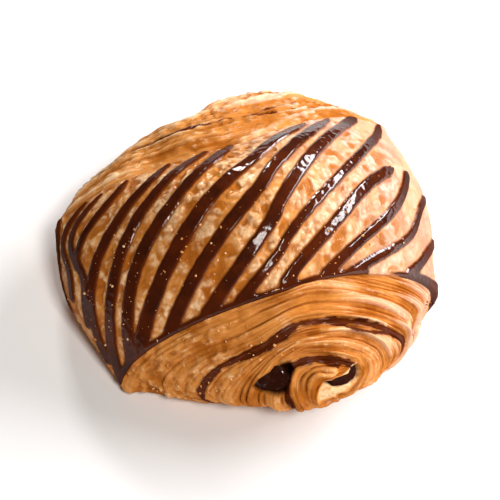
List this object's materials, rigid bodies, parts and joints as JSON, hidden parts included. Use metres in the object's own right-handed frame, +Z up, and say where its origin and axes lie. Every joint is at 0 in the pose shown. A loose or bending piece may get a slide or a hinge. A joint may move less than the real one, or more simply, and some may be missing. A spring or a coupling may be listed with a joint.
{
  "type": "pain au chocolat",
  "caption": "Laminated pastry roll with dark diagonal stripes fused over its crust and chocolate sticks running through it, showing at both ends.",
  "frame": {"origin": "middle of the flat base, at the bottom centre of the bounding box", "axes": "+Z up, the roll lies along Y with its coil end at -Y, X runs across the roll"},
  "size_m": [0.1104, 0.1011, 0.0506],
  "materials": {
    "baked_crust": "golden-brown baked dough, egg-washed, with dark cocoa stripes",
    "chocolate": "dark chocolate, softened to a gloss"
  },
  "bodies": {
    "root": {"pastry": "baked_crust", "baton_left": "chocolate", "baton_right": "chocolate"}
  },
  "joints": []
}
